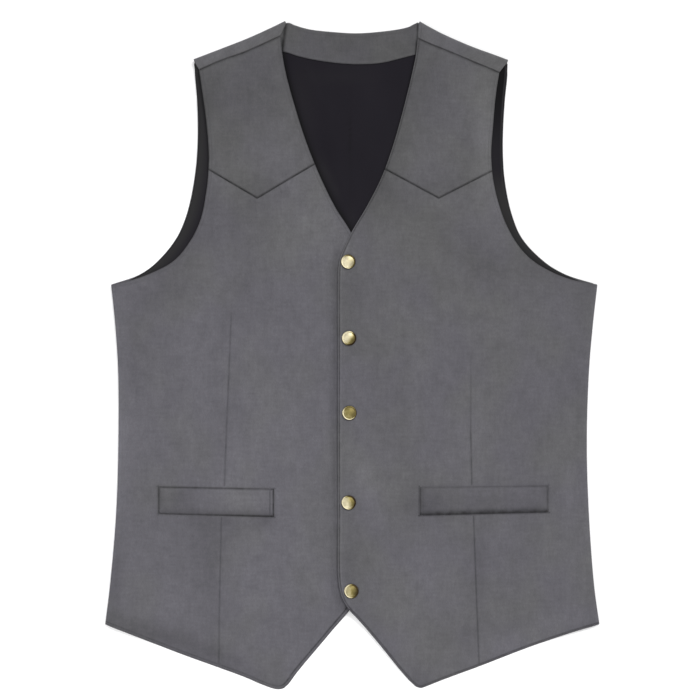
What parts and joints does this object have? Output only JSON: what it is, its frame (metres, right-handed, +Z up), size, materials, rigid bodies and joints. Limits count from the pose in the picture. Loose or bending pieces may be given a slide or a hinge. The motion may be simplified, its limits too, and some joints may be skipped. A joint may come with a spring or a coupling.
{
  "type": "flannel vest",
  "caption": "Sleeveless western waistcoat laid flat, with pointed yokes, pointed hem, V neck, welt pockets and domed snap closure.",
  "frame": {"origin": "on the surface the vest lies on, below the middle of its outline", "axes": "+X to the wearer's left, +Y to the neck, +Z up from the surface, out of the fronts"},
  "size_m": [0.4944, 0.6686, 0.0091],
  "materials": {
    "flannel": "soft grey melange flannel",
    "satin_lining": "black satin",
    "snap_brass": "polished antique brass"
  },
  "bodies": {
    "root": {"back": "flannel", "back_lining": "satin_lining", "back_neck_facing": "flannel", "front_right": "flannel", "yoke_right": "flannel", "welt_right": "flannel", "front_left": "flannel", "yoke_left": "flannel", "welt_left": "flannel", "snap_1": "snap_brass", "snap_2": "snap_brass", "snap_3": "snap_brass", "snap_4": "snap_brass", "snap_5": "snap_brass"}
  },
  "joints": []
}
